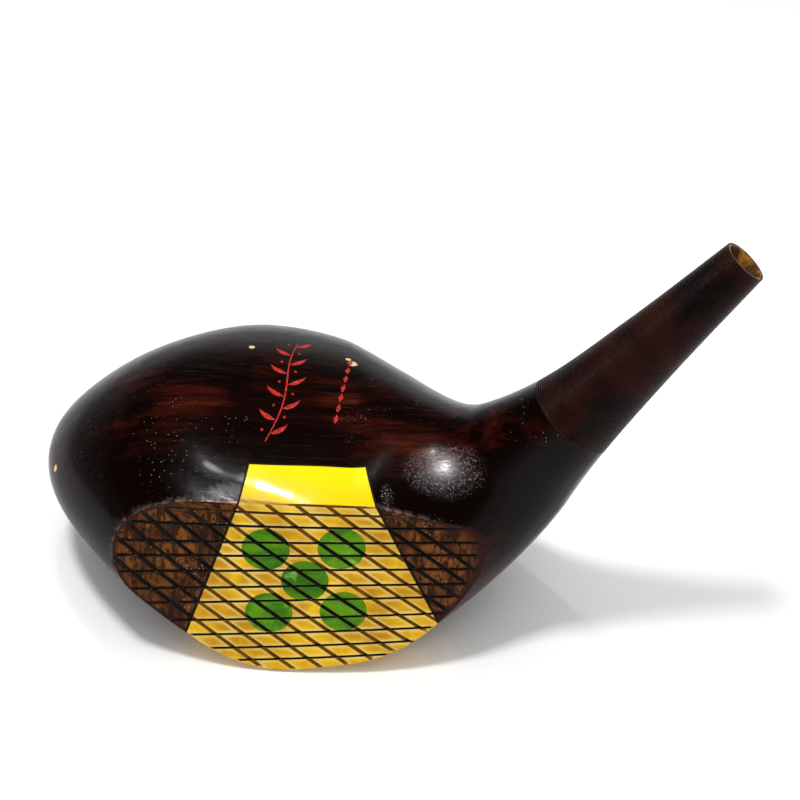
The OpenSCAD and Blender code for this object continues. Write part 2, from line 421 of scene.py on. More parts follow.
def row_height(v0, u):
    """Height of a ruled row at u: it climbs to the heel and droops at both ends."""
    climb = np.interp(v0, [-20, -5, 10, 19], [0.095, 0.079, 0.045, 0.005])
    droop = np.interp(v0, [-20, 0, 19], [0.0006, 0.0013, 0.0004])
    return v0 + climb * u - droop * u * u


def slant_place(s, v0):
    """Place along the face of slanted column s, a number counted along SLANTS, at row v0."""
    k = np.arange(len(SLANTS))
    a = np.interp(s, k, [p[0] for p in SLANTS])
    b = np.interp(s, k, [p[1] for p in SLANTS])
    outside = SLANT_STEP * (np.minimum(s, 0) + np.maximum(s - k[-1], 0))
    a, b = a + outside, b + outside
    return a + (b - a) * (10 - v0) / 20


def row_of(v, u):
    """Row, as its height at the face's middle, on which the height v lies at u."""
    return v - (row_height(v, u) - v)


def ruled(row, u):
    """Where along the face a row is ruled: the top row only across the insert."""
    return np.abs(u + 1) < TOP_ROW_REACH if row == SCORE_ROWS[0] else np.abs(u) < 60


def face_cutter(sizes):
    """Solid in front of the face. Its back is a grid of ruled rows and slanted columns
    laid over the bulge, with a ridge of triangular section along every scored line, so that
    it leaves the grooves when it is cut off. Rough grain is added outside the insert."""
    rows, row_mark = spread(SCORE_ROWS[::-1], sizes.row_width / 2, 0.5, FACE_FOOT, FACE_TOP)
    half = sizes.slant_width / 2 / SLANT_GAP
    n = len(SLANTS)
    columns, column_mark = spread(range(n), half, 0.085, -4.5, n + 3.5)
    v0, s = rows[:, None], columns[None, :]
    u = slant_place(s, v0)
    order = np.arange(len(columns))[None, :]
    u = np.maximum(u, FACE_TOE + order * 0.01)
    u = np.minimum(u, FACE_HEEL - (len(columns) - order) * 0.01)
    v = row_height(v0, u)
    top_row = np.abs(v0 - SCORE_ROWS[0]) < 0.1
    reach = np.where(top_row, ruled(SCORE_ROWS[0], u), ruled(None, u))
    depth = np.where(row_mark[:, None] & reach, sizes.row_depth, 0.0)
    below_top = v0 < SCORE_ROWS[0] - 0.2
    depth = np.where(column_mark[None, :] & below_top, np.maximum(depth, sizes.slant_depth), depth)
    toe, heel = keystone_sides(v, 0.5)
    wooden = ((u < toe) | (u > heel)).astype(float)
    cross = ((u * 0.72 + v * 0.7) % 4.6) - 2.3
    cross_depth = 0.3 * np.clip(1 - np.abs(cross) / 0.45, 0, 1)
    cross_depth *= value_noise(u * 0.35, v * 0.35, 5) > 0.35
    grain = value_noise(u * 1.5 + v * 0.9, v * 0.55 - u * 0.3, 3)
    pores = np.clip(grain - 0.62, 0, 1) * 0.55
    rough = value_noise(u * 2.3, v * 2.3, 11) * 0.06
    depth = np.maximum(depth, wooden * cross_depth) + wooden * (pores + rough)
    depth += (1 - wooden) * 0.03 * value_noise(u * 0.6, v * 0.6, 7)
    under = skin_depth(face_to_head(u, v, bulge(u)))
    depth *= np.clip(under / 1.2, 0.06, 1)
    n_rows, n_columns = u.shape
    grid = face_to_head(u, v, bulge(u) - depth).reshape(-1, 3)
    edge = np.concatenate([
        np.arange(n_columns),
        np.arange(1, n_rows) * n_columns + n_columns - 1,
        (n_rows - 1) * n_columns + np.arange(n_columns - 2, -1, -1),
        np.arange(n_rows - 2, 0, -1) * n_columns,
    ])
    flat_u, flat_v = u.reshape(-1)[edge], v.reshape(-1)[edge]
    far = face_to_head(flat_u, flat_v, np.full(len(edge), 30.0))
    start = len(grid)
    k = np.arange(len(edge))
    nxt = (k + 1) % len(edge)
    walls = columns_of(edge[k], edge[nxt], start + nxt, start + k)
    faces = grid_quads(n_rows, n_columns).tolist() + walls.tolist()
    faces.append((start + k).tolist())
    return mesh_piece("face_cutter", np.concatenate([grid, far]), faces)


def prism(name, outline, low, high, place):
    """Straight prism between two heights over an outline of points, put in place."""
    n = len(outline)
    outline = np.asarray(outline, float)
    bottom = place(outline[:, 0], outline[:, 1], np.full(n, low))
    top = place(outline[:, 0], outline[:, 1], np.full(n, high))
    k = np.arange(n)
    nxt = (k + 1) % n
    faces = columns_of(k, nxt, n + nxt, n + k).tolist()
    faces += [k[::-1].tolist(), (n + k).tolist()]
    return mesh_piece(name, np.concatenate([bottom, top]), faces)


def keystone_prism(name, margin=0.0):
    """The insert's blank: a keystone outline carried straight back from the face."""
    v = np.array([KEY_REACH, KEY_REACH, -KEY_REACH, -KEY_REACH])
    toe, heel = keystone_sides(v, margin)
    outline = columns_of(np.where([1, 0, 0, 1], toe, heel), v)
    return prism(name, outline, -INSERT_T - margin, 14.0, face_to_head)


def circle_points(x, y, r, n=96):
    """Points of a circle, counter-clockwise."""
    a = np.linspace(0, 2 * math.pi, n, endpoint=False)
    return columns_of(x + r * np.cos(a), y + r * np.sin(a))


TIP = np.array([
    BEND_START + BEND_R * math.sin(LIE) + NECK_STRAIGHT * math.cos(LIE),
    NECK_Y,
    MIDDLE_Z + BEND_R * (1 - math.cos(LIE)) + NECK_STRAIGHT * math.sin(LIE),
])
NECK_DIR = np.array([math.cos(LIE), 0, math.sin(LIE)])
NECK_SIDE = np.array([math.sin(LIE), 0, -math.cos(LIE)])


def neck_place(a, b, h):
    """Places a point h along the neck's axis from its open end, a and b across it."""
    return (
        TIP
        + np.asarray(a)[..., None] * NECK_SIDE
        + np.asarray(b)[..., None] * np.array([0, 1, 0])
        + np.asarray(h)[..., None] * NECK_DIR
    )


def plate_outline():
    """Outline of the sole plate: a wedge with a round end towards the back."""
    low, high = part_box("sole_plate")
    x = (low.x + high.x) / 2 / MM
    front, back = low.y / MM, high.y / MM
    half = (high.x - low.x) / 2 / MM
    a = np.linspace(0, math.pi, 41)
    arc = columns_of(x + PLATE_TAIL_R * np.cos(a), back - PLATE_TAIL_R + PLATE_TAIL_R * np.sin(a))
    return np.concatenate([[(x - half, front), (x + half, front)], arc])


# ----
# Materials


def rgba(colour):
    """Colour with an alpha of one."""
    colour = tuple(colour)
    return colour if len(colour) == 4 else colour + (1.0,)


class Nodes:
    """A node tree under construction: small helpers that add and join nodes."""

    def __init__(self, tree):
        self.tree = tree
        tree.nodes.clear()
        self.places = self.node("TexCoord").outputs
        self.coords = self.places["Object"]

    def node(self, kind, **values):
        """New node: a name with a capital is an input, any other a setting of the node."""
        made = self.tree.nodes.new("ShaderNode" + kind)
        for key, value in values.items():
            if key[0].isupper():
                self.feed(made.inputs[key.replace("_", " ")], value)
            else:
                setattr(made, key, value)
        return made

    def feed(self, socket, value):
        """Links a socket value, or sets a plain one."""
        if isinstance(value, bpy.types.NodeSocket):
            self.tree.links.new(value, socket)
        else:
            socket.default_value = rgba(value) if socket.type == "RGBA" else value

    def stretched(self, scale, turn=(0, 0, 0)):
        """Coordinates scaled and turned, in metres."""
        made = self.node("Mapping", Vector=self.coords, Scale=scale, Rotation=turn)
        return made.outputs["Vector"]

    def noise(self, scale, detail=4.0, roughness=0.55, distortion=0.0, vector=None):
        return self.node(
            "TexNoise", Vector=vector or self.coords, Scale=scale, Detail=detail,
            Roughness=roughness, Distortion=distortion,
        ).outputs["Fac"]

    def specks(self, scale, core, edge):
        """Small round specks, one within the core and zero past the edge."""
        made = self.node("TexVoronoi", Vector=self.coords, Scale=scale)
        return self.ramp(made.outputs["Distance"], core, edge, 1.0, 0.0)

    def math(self, operation, *values, clamp=False):
        made = self.node("Math", operation=operation, use_clamp=clamp)
        for socket, value in zip(made.inputs, values + (0.0,)):
            self.feed(socket, value)
        return made.outputs[0]

    def times(self, a, b, **more):
        return self.math("MULTIPLY", a, b, **more)

    def plus(self, a, b, **more):
        return self.math("ADD", a, b, **more)

    def line(self, value, slope, start, **more):
        """Value times a slope plus a start."""
        return self.math("MULTIPLY_ADD", value, slope, start, **more)

    def ramp(self, value, low, high, to_low=0.0, to_high=1.0):
        """Value taken smoothly from the span low..high to the span to_low..to_high."""
        return self.node(
            "MapRange", interpolation_type="SMOOTHSTEP", Value=value, From_Min=low,
            From_Max=high, To_Min=to_low, To_Max=to_high,
        ).outputs["Result"]

    def patches(self, low, high, *noise, to=(0.0, 1.0), **more):
        """Soft patches: noise taken from the span low..high to the span to."""
        return self.ramp(self.noise(*noise, **more), low, high, *to)

    def mix(self, amount, a, b):
        made = self.node("Mix", data_type="RGBA", Factor=amount)
        colours = [socket for socket in made.inputs if socket.type == "RGBA"]
        self.feed(colours[0], a)
        self.feed(colours[1], b)
        return [socket for socket in made.outputs if socket.type == "RGBA"][0]

    def attribute(self, name):
        return self.node("Attribute", attribute_name=name).outputs["Fac"]

    def height(self):
        """Height above the ground, in metres."""
        return self.node("SeparateXYZ", Vector=self.coords).outputs["Z"]

    def spot(self, centre, radius):
        """One inside a ragged spot round a point given in millimetres, zero outside it."""
        ragged = 0.4
        away = self.node("VectorMath", operation="DISTANCE")
        self.feed(away.inputs[0], self.coords)
        self.feed(away.inputs[1], [c * MM for c in centre])
        wander = self.times(self.noise(900, 3), 2 * ragged * radius * MM)
        edge = radius * MM * (1 + ragged)
        return self.ramp(self.plus(away.outputs["Value"], wander), edge * 0.85, edge, 1.0, 0.0)


class Surface(Nodes):
    """A material of one shader under construction."""

    def __init__(self, name):
        self.material = bpy.data.materials.new(name)
        self.material.use_nodes = True
        super().__init__(self.material.node_tree)
        self.base = None
        self.shader = self.node("BsdfPrincipled")
        self.node("OutputMaterial", Surface=self.shader.outputs["BSDF"])

    def paint(self, amount, colour):
        """Mixes a colour over what the base has so far."""
        self.base = self.mix(amount, self.base, colour)

    def set(self, **values):
        for key, value in values.items():
            self.feed(self.shader.inputs[key.replace("_", " ")], value)

    def bumped(self, *heights):
        """The material, with bump from pairs of a height and its depth in metres."""
        more = {}
        for height, depth in heights:
            made = self.node("Bump", Strength=1.0, Distance=depth, Height=height, **more)
            more = {"Normal": made.outputs["Normal"]}
        self.set(Base_Color=self.base, **more)
        return self.material


# Places of knocks that show the wood under the lacquer: middle, radius
CHIPS = [
    ((8.2, 17.6, 44.0), 1.3),
    ((7.2, 19.6, 43.7), 0.8),
    ((-15.3, 21.4, 44.5), 0.8),
    ((-57.0, -5.4, 28.0), 0.9),
    ((-31.5, 20.0, 41.5), 0.6),
]
# Zones where knocks have broken the lacquer's shine, and where pale highlight glints are painted:
# middle, half sizes, amount
SCUFFS_AND_GLINTS = [
    ((28.5, -19.0, 45.0), (10.0, 7.0, 7.0), 1.0),
    ((-16.8, -26.0, 42.3), (4.5, 2.2, 2.5), 0.7),
    ((16.2, -25.4, 42.2), (1.6, 3.4, 3.0), 0.8),
]


def lacquered_wood(colours):
    """Dark lacquer over streaked wood: long grain from toe to heel, red where the light
    gets through, fine dust and scratches, knocks down to the wood, a pale band along the
    face's rim that is partly wear and partly painted highlight, and pale highlight glints
    painted over the scuff zones."""
    m = Surface("dark_lacquered_wood")
    long_way = m.stretched((0.16, 1.0, 1.0), turn=(0, 0, math.radians(4)))
    broad = m.noise(75, 5, 0.6, 0.6, long_way)
    fine = m.noise(420, 6, 0.65, 0.3, long_way)
    thread = m.noise(1400, 3, 0.6, 0.0, m.stretched((0.08, 1.0, 1.0)))
    grain = m.plus(m.times(broad, 0.6), m.times(fine, 0.4))
    red = m.ramp(grain, 0.46, 0.64)
    patches = m.patches(0.42, 0.62, 26, 3, 0.5, 0.8)
    red = m.times(red, m.line(patches, 0.8, 0.1))
    m.base = m.mix(red, colours.lacquer_dark, colours.lacquer_red)
    m.paint(m.times(m.ramp(grain, 0.58, 0.74), patches), colours.lacquer_light)
    m.paint(m.ramp(thread, 0.55, 0.72, 0.0, 0.5), (0.004, 0.002, 0.002))
    dust = m.times(m.specks(900, 0.10, 0.16), m.patches(0.52, 0.66, 60, 4, 0.6))
    m.paint(m.times(dust, 0.35), (0.42, 0.33, 0.3))
    rubbed = None
    for centre, radius in CHIPS:
        spot = m.spot(centre, radius)
        rubbed = spot if rubbed is None else m.math("MAXIMUM", rubbed, spot)
    bare = m.mix(m.noise(700, 4), (0.62, 0.36, 0.14), (0.82, 0.66, 0.45))
    # Pale pinkish band along the face's rim, strongest by the insert on the toe side: partly worn
    # lacquer, partly a painted highlight for the light caught on the rounded edge
    edge = m.times(m.attribute("worn_edge"), m.patches(0.38, 0.62, 650, 5, 0.7))
    m.paint(edge, m.mix(m.noise(500, 3), (0.5, 0.26, 0.2), (0.78, 0.6, 0.52)))
    m.paint(rubbed, bare)
    scratch_way = m.stretched((0.02, 1.0, 0.6), turn=(0, 0, math.radians(-12)))
    scratch = m.patches(0.66, 0.74, 2600, 2, 0.5, 0.0, scratch_way)
    scuffed = m.attribute("scuffed")
    scuff_marks = m.times(scuffed, m.patches(0.55, 0.66, 2200, 5, 0.75))
    m.paint(m.times(scuff_marks, 0.5), (0.4, 0.36, 0.35))
    rough = m.plus(m.line(m.noise(300, 4), 0.22, 0.12), m.times(dust, 0.3))
    rough = m.plus(rough, m.times(scuff_marks, 0.28))
    # Painted highlight: pale glints painted over the scuff zones
    glint = m.patches(0.58, 0.66, 1900, 4, 0.7)
    glint = m.times(glint, m.ramp(scuffed, 0.1, 0.8))
    m.paint(m.times(glint, 0.5), (0.5, 0.4, 0.38))
    rough = m.plus(rough, m.times(scuffed, 0.06))
    rough = m.math("MAXIMUM", rough, m.times(rubbed, 0.6), clamp=True)
    m.set(
        Roughness=rough, IOR=1.5,
        Specular_IOR_Level=m.line(scuffed, 0.75, 0.07),
        Coat_Weight=0.06, Coat_Roughness=0.08, Coat_IOR=1.5,
    )
    ripple = m.noise(110, 3, 0.5)
    return m.bumped(
        (ripple, 0.00016),
        (m.plus(fine, m.times(scratch, -0.8)), 0.00004),
        (m.math("SUBTRACT", dust, m.times(scuff_marks, 0.8)), 0.00003),
        (m.math("MAXIMUM", rubbed, edge), -0.00012),
    )


def rough_face_wood(colours):
    """Bare worn wood of the face: orange with dark pores and short cracks."""
    m = Surface("worn_face_wood")
    way = m.stretched((1.0, 1.0, 0.34), turn=(0, math.radians(38), 0))
    streak = m.noise(900, 6, 0.7, 0.5, way)
    blotch = m.noise(160, 4, 0.6, 0.6)
    m.base = m.mix(m.ramp(blotch, 0.35, 0.65), colours.face_wood, colours.face_wood_light)
    m.paint(m.times(m.ramp(streak, 0.5, 0.62), 0.92), (0.012, 0.004, 0.002))
    stain = m.ramp(m.attribute("line_near"), 0.1, 0.8, 1.0, 0.0)
    stain = m.times(stain, m.patches(0.28, 0.5, 420, 4, 0.7))
    m.paint(stain, (0.008, 0.003, 0.002))
    leaning = m.stretched((1.0, 1.0, 0.16), turn=(0, math.radians(-32), 0))
    strokes = m.noise(520, 3, 0.6, 0.2, leaning)
    m.paint(m.ramp(strokes, 0.49, 0.56, 0.0, 0.85), (0.014, 0.005, 0.002))
    edge = m.ramp(m.attribute("rim_near"), 0.15, 1.5, 1.0, 0.0)
    m.paint(m.times(edge, m.ramp(blotch, 0.2, 0.5)), (0.03, 0.006, 0.004))
    seam = m.ramp(m.attribute("seam_near"), 0.12, 0.4, 1.0, 0.0)
    m.paint(seam, (0.004, 0.003, 0.002))
    pale = m.times(m.specks(1500, 0.08, 0.14), m.patches(0.5, 0.62, 300, 3))
    m.paint(pale, (0.75, 0.6, 0.48))
    m.set(Roughness=m.line(streak, 0.4, 0.28, clamp=True), IOR=1.48, Specular_IOR_Level=0.07)
    return m.bumped((streak, -0.00035), (m.noise(1800, 4, 0.7), 0.00012))


def scored_black(colours):
    """Black paint in the scored lines, thin in places."""
    m = Surface("scored_line_black")
    worn = m.patches(0.58, 0.72, 900, 4, 0.7)
    brown = m.ramp(m.height(), 0.037, 0.043)
    m.base = m.mix(brown, colours.line_black, (0.2, 0.075, 0.01))
    m.paint(m.times(worn, 0.5), (0.12, 0.06, 0.03))
    m.set(Roughness=0.42, IOR=1.45, Specular_IOR_Level=0.15)
    return m.bumped((m.noise(1600, 4, 0.7), 0.00006))


def slant_stain(colours):
    """Olive brown dirt in the slanted lines of the insert."""
    m = Surface("slanted_line_stain")
    soil = m.noise(420, 5, 0.7, 0.4)
    m.base = m.mix(m.ramp(soil, 0.3, 0.68), colours.slant_stain, (0.09, 0.035, 0.002))
    m.set(Roughness=0.38, IOR=1.46, Specular_IOR_Level=0.08)
    return m.bumped((m.noise(1500, 4, 0.7), 0.00006))


def insert_resin(colours):
    """Polished yellow resin: deeper yellow in the middle of each diamond, paler towards
    its lines, faint clouds, fine rubbing marks, and a painted highlight on the rounded top,
    brighter yellow the higher it lies."""
    m = Surface("yellow_insert_resin")
    cloud = m.noise(90, 4, 0.6, 0.5)
    near = m.ramp(m.attribute("line_near"), 0.25, 1.3, 1.0, 0.0)
    pale_side = m.patches(0.35, 0.65, 140, 3, 0.5)
    pale = m.times(near, m.line(pale_side, 0.7, 0.3))
    m.base = m.mix(m.ramp(cloud, 0.3, 0.75), colours.insert_deep, colours.insert_yellow)
    m.paint(m.times(pale, 0.8), colours.insert_pale)
    soil = m.times(m.ramp(m.attribute("line_near"), 0.0, 0.45, 1.0, 0.0), 0.85)
    soil = m.times(soil, m.patches(0.3, 0.55, 260, 4, 0.6))
    m.paint(soil, (0.2, 0.085, 0.003))
    # Painted highlight: the rounded top of the insert, turning up towards the overhead lamp, is
    # painted brighter yellow the higher it lies
    high = m.height()
    top = m.mix(m.ramp(high, 0.0422, 0.0446), (0.95, 0.56, 0.0), (1.0, 0.72, 0.0))
    m.paint(m.ramp(high, 0.0418, 0.0423), top)
    drop = m.spot((-7.0, -24.6, 42.9), 4.6)
    m.paint(m.times(m.specks(700, 0.06, 0.1), m.patches(0.55, 0.62, 120)), (0.35, 0.16, 0.02))
    m.set(
        Roughness=m.line(m.noise(350, 4, 0.7), 0.2, 0.12),
        IOR=1.5, Specular_IOR_Level=0.1, Subsurface_Weight=0.1, Subsurface_Scale=0.002,
        Coat_Weight=m.line(drop, 0.5, 0.05), Coat_Roughness=0.07,
    )
    m.shader.inputs["Subsurface Radius"].default_value = (1.0, 0.7, 0.2)
    rub = m.noise(1800, 3, 0.6, 0.0, m.stretched((0.1, 1.0, 1.0)))
    return m.bumped((m.noise(140, 3), 0.00008), (rub, 0.000015))


def peg_resin(colours):
    """Green resin of the pegs with brighter and darker veins."""
    m = Surface("green_peg_resin")
    veins = m.noise(170, 5, 0.6, 0.8, m.stretched((0.5, 1.0, 1.3), turn=(0, 0.5, 0)))
    m.base = m.mix(m.ramp(veins, 0.34, 0.66), colours.peg_dark, colours.peg_green)
    light = m.patches(0.56, 0.72, 240, 4, 0.6, 0.4)
    m.paint(m.times(light, 0.6), (0.24, 0.52, 0.08))
    m.set(
        Roughness=m.line(m.noise(500, 4), 0.2, 0.12),
        IOR=1.5, Specular_IOR_Level=0.06, Coat_Weight=0.05, Coat_Roughness=0.1,
    )
    return m.bumped((m.noise(300, 3), 0.00006), (m.noise(1600, 3), 0.00002))


def bedding_black(colours):
    """Dark putty round the insert, slightly uneven."""
    m = Surface("insert_bedding_putty")
    m.base = m.mix(m.patches(0.4, 0.7, 800, 4), colours.line_black, (0.012, 0.007, 0.004))
    m.set(Roughness=0.5, IOR=1.45, Specular_IOR_Level=0.1)
    return m.bumped((m.noise(1400, 4), 0.00008))


def wound_thread(colours):
    """Lacquered thread: dark red brown, twisted fibres, rubbed lighter on top."""
    m = Surface("lacquered_thread")
    fibre = m.noise(2600, 4, 0.7, 0.2)
    patch = m.noise(70, 4, 0.6, 0.6)
    m.base = m.mix(m.ramp(patch, 0.36, 0.64), colours.thread_dark, colours.thread_red)
    m.paint(m.ramp(fibre, 0.52, 0.72, 0.0, 0.3), (0.035, 0.016, 0.01))
    m.set(
        Roughness=m.line(fibre, 0.3, 0.2),
        IOR=1.5, Specular_IOR_Level=0.09, Coat_Weight=0.03, Coat_Roughness=0.14,
    )
    return m.bumped((fibre, 0.00008))


def bore_wood(colours):
    """Bare orange wood of the bore, streaked along the neck, with near-black patches that are
    partly dark streaks and partly painted shade of the deep hole.
    """
    m = Surface("bare_bore_wood")
    way = m.stretched((1.0, 1.0, 0.12), turn=(0, LIE - math.pi / 2, 0))
    streak = m.noise(600, 5, 0.65, 0.4, way)
    m.base = m.mix(m.ramp(streak, 0.38, 0.62), colours.bore_orange, (0.3, 0.11, 0.02))
    # Near-black patches along the neck: partly dark streaks in the wood, partly painted shade
    # inside the deep bore
    dark = m.patches(0.4, 0.52, 200, 4, 0.6, 0.5, way)
    m.paint(m.times(dark, 0.85), (0.02, 0.01, 0.006))
    m.set(Roughness=0.5, IOR=1.47, Coat_Weight=0.15, Coat_Roughness=0.3)
    return m.bumped((streak, 0.0003))


def brushed_plate(colours):
    """Sole metal: fine lines from heel to toe, long scuffs from the ground, dull patches."""
    m = Surface("scuffed_sole_metal")
    brushed = m.noise(2400, 3, 0.6, 0.0, m.stretched((0.03, 1.0, 1.0)))
    scuff = m.noise(500, 5, 0.7, 0.3, m.stretched((1.0, 0.09, 1.0), turn=(0, 0, 0.35)))
    dull = m.noise(90, 4, 0.6, 0.5)
    marks = m.ramp(scuff, 0.58, 0.68)
    m.base = m.mix(m.ramp(dull, 0.35, 0.65), colours.plate_metal, (0.42, 0.41, 0.4))
    m.paint(m.times(marks, 0.6), (0.2, 0.19, 0.18))
    rough = m.line(brushed, 0.25, 0.2)
    m.set(Metallic=1.0, Roughness=m.plus(rough, m.times(marks, 0.25), clamp=True))
    return m.bumped((brushed, 0.00002), (marks, -0.00006))


def dull_brass(colours):
    """Screw brass: yellow where it is rubbed, brown in the slot and hollows."""
    m = Surface("dull_screw_brass")
    tarnish = m.noise(320, 5, 0.7, 0.5)
    m.base = m.mix(m.ramp(tarnish, 0.35, 0.7), colours.screw_brass, (0.26, 0.16, 0.06))
    rings = m.noise(2200, 3, 0.6)
    m.set(Metallic=1.0, Roughness=m.line(tarnish, 0.4, 0.15, clamp=True))
    return m.bumped((rings, 0.00003))


def cast_lead(colours):
    """Lead of the weight: dull grey with a grainy cast skin."""
    m = Surface("cast_lead")
    skin = m.noise(600, 5, 0.7)
    m.base = m.mix(m.ramp(skin, 0.3, 0.7), (0.2, 0.21, 0.23), (0.36, 0.37, 0.39))
    m.set(Metallic=1.0, Roughness=0.55)
    return m.bumped((skin, 0.00015))


def ornament_red(colours):
    """Red paint of the crown's sprig, thin and chipped."""
    m = Surface("ornament_red_paint")
    thin = m.patches(0.5, 0.64, 1300, 4, 0.75)
    m.base = m.mix(thin, colours.ornament_red, (0.08, 0.015, 0.012))
    pale = m.patches(0.6, 0.7, 2400, 3)
    m.paint(m.times(pale, 0.5), (0.75, 0.35, 0.3))
    m.set(Roughness=0.4, IOR=1.45, Specular_IOR_Level=0.1)
    return m.bumped((thin, -0.00004))


def pale_ground(colours):
    """Plain pale ground."""
    m = Surface("pale_ground")
    m.base = m.mix(m.patches(0.3, 0.7, 4, 3), (0.95, 0.95, 0.95), (0.97, 0.97, 0.97))
    m.set(Roughness=0.9)
    return m.bumped((m.noise(300, 3), 0.00005))


# ----
# Sizes and colours that a user would change


def colour(name, description, value):
    return FloatVectorProperty(
        name=name, description=description, default=value, subtype="COLOR",
        size=3, min=0.0, max=1.0,
    )


def size(name, description, value, low, high):
    return FloatProperty(
        name=name, description=description + ", mm", default=value, min=low, max=high,
    )


class DriverHeadSizes(PropertyGroup):
    """Fine sizes of the head's finish, in millimetres."""

    row_width: size("Ruled line width", "Width of the lines ruled across", 0.6, 0.3, 1.2)
    row_depth: size("Ruled line depth", "Depth of the lines ruled across", 0.4, 0.1, 0.8)
    slant_width: size("Slanted line width", "Width of the slanted lines", 0.92, 0.3, 1.4)
    slant_depth: size("Slanted line depth", "Depth of the slanted lines", 0.38, 0.1, 0.8)
    peg_gap: size("Peg gap", "Gap round each peg", 0.06, 0.0, 0.2)
    thread_pitch: size("Thread pitch", "Advance of the thread for each turn", 0.55, 0.4, 1.0)
    thread_sides: IntProperty(
        name="Thread sides", description="Points round the thread", default=6, min=5, max=8,
    )
    leaf_length: size("Leaf length", "Length of the sprig's longest leaf", 5.6, 3.0, 7.0)


class DriverHeadColours(PropertyGroup):
    """Colours of the head's finishes."""

    lacquer_dark: colour("Dark lacquer", "Lacquer where it is thick", (0.0025, 0.0008, 0.0006))
    lacquer_red: colour("Red lacquer", "Lacquer over the grain", (0.046, 0.0055, 0.0025))
    lacquer_light: colour("Light lacquer", "Lacquer where it is thin", (0.11, 0.022, 0.006))
    face_wood: colour("Face wood", "Bare wood of the face", (0.075, 0.019, 0.003))
    face_wood_light: colour("Light face wood", "Palest wood of the face", (0.19, 0.062, 0.01))
    insert_yellow: colour("Insert yellow", "Resin of the insert", (0.78, 0.48, 0.006))
    insert_deep: colour("Deep insert yellow", "Deepest resin of the insert", (0.44, 0.2, 0.002))
    insert_pale: colour("Pale insert yellow", "Resin next to the lines", (0.8, 0.62, 0.19))
    slant_stain: colour("Slanted line stain", "Dirt in the slanted lines", (0.2, 0.085, 0.004))
    line_black: colour("Line black", "Paint in the ruled lines", (0.006, 0.004, 0.003))
    peg_green: colour("Peg green", "Resin of the pegs", (0.1, 0.27, 0.003))
    peg_dark: colour("Dark peg green", "Veins of the pegs", (0.022, 0.115, 0.002))
    thread_dark: colour("Dark thread", "Thread under thick lacquer", (0.002, 0.0007, 0.0005))
    thread_red: colour("Red thread", "Thread under thin lacquer", (0.022, 0.003, 0.0012))
    bore_orange: colour("Bore wood", "Wood inside the neck", (0.55, 0.24, 0.02))
    plate_metal: colour("Plate metal", "Metal of the sole plate", (0.66, 0.65, 0.63))
    screw_brass: colour("Screw brass", "Metal of the screws", (0.7, 0.5, 0.2))
    ornament_red: colour("Ornament red", "Paint of the crown's sprig", (0.5, 0.02, 0.015))


def settings():
    """The scene's sizes and colours of the head."""
    scene = bpy.context.scene
    return scene.driver_head_sizes, scene.driver_head_colours


# ----
# What the face pieces share


def nearest_line(points):
    """Distance, in millimetres, of points from the nearest ruled or slanted line."""
    u, v, _ = head_to_face(points)
    best = np.full(len(u), 99.0)
    for row in SCORE_ROWS:
        gap = np.abs(v - row_height(row, u))
        best = np.minimum(best, np.where(ruled(row, u), gap, 99.0))
    for k in range(len(SLANTS)):
        v0 = row_of(v, u)
        gap = np.abs(u - slant_place(np.full(len(u), float(k)), v0)) * 0.66
        best = np.minimum(best, np.where(v0 < SCORE_ROWS[0], gap, 99.0))
    return best


def line_kind(centres, sizes):
    """0 off the lines, 1 in a ruled line, 2 in a slanted line, for polygon middles."""
    u, v, w = head_to_face(centres)
    kind = np.zeros(len(u), int)
    sunk = (w - bulge(u) < -0.07) & (w - bulge(u) > -0.75)
    v0 = row_of(v, u)
    for k in range(len(SLANTS)):
        gap = np.abs(u - slant_place(np.full(len(u), float(k)), v0))
        kind[sunk & (v0 < SCORE_ROWS[0] - 0.5) & (gap < sizes.slant_width * 0.72)] = 2
    for row in SCORE_ROWS:
        gap = np.abs(v - row_height(row, u))
        kind[sunk & ruled(row, u) & (gap < sizes.row_width * 0.55)] = 1
    return kind


def store(piece, name, values):
    """Keeps a value for each point of the piece, for its materials to read."""
    layer = piece.data.attributes.new(name, "FLOAT", "POINT")
    layer.data.foreach_set("value", values.astype(np.float32))


def note_lines(piece):
    """Keeps each point's distance from the nearest line."""
    store(piece, "line_near", nearest_line(point_places(piece.data)))


# ----
# The pieces


def tube_faces(rows, columns):
    """Faces of a grid wrapped into a tube, closed at both ends."""
    faces = grid_quads(rows, columns, wrap=True).tolist()
    faces.append(list(range(columns)))
    faces.append([rows * columns - 1 - k for k in range(columns)])
    return faces


